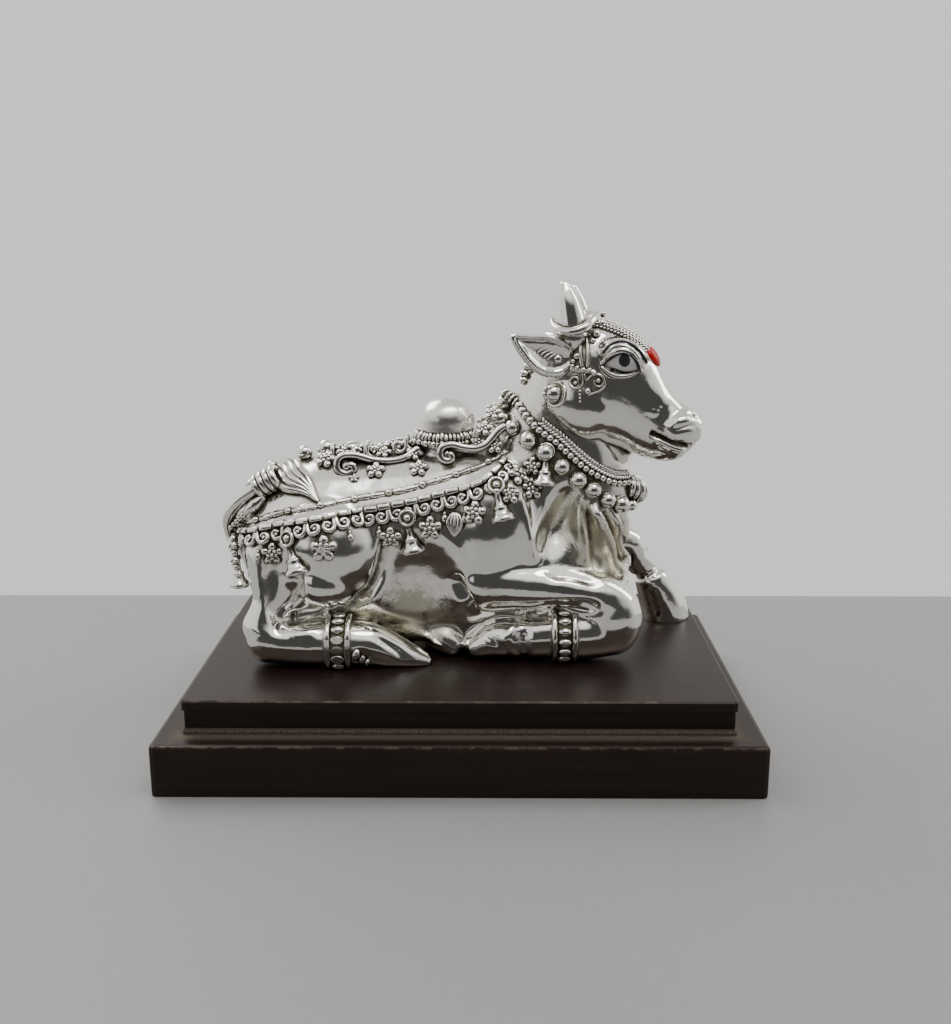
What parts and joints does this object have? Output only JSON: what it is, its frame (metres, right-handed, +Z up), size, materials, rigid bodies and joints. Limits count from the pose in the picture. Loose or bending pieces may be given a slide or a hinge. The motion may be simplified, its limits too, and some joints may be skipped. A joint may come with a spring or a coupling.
{
  "type": "nandi bull figure",
  "caption": "Seated Nandi bull figure, head raised and turned, with draped cloth, bead collar and hanging bells, on a stepped wooden base.",
  "frame": {"origin": "middle of the base's underside", "axes": "+X the way the bull faces, along the base's long side; +Y from the near flank to the far one; +Z up"},
  "size_m": [0.152, 0.102, 0.1235],
  "materials": {
    "silver_plate": "mirror-bright silver plating with a yellowish grey patina in the hollows",
    "dark_wood_upper": "very dark brown lacquer, satin, lightly scuffed",
    "dark_wood_lower": "very dark brown lacquer, satin, edges lightly worn"
  },
  "bodies": {
    "root": {"bull_figure": "silver_plate", "base_upper_tier": "dark_wood_upper", "base_lower_tier": "dark_wood_lower"}
  },
  "joints": []
}
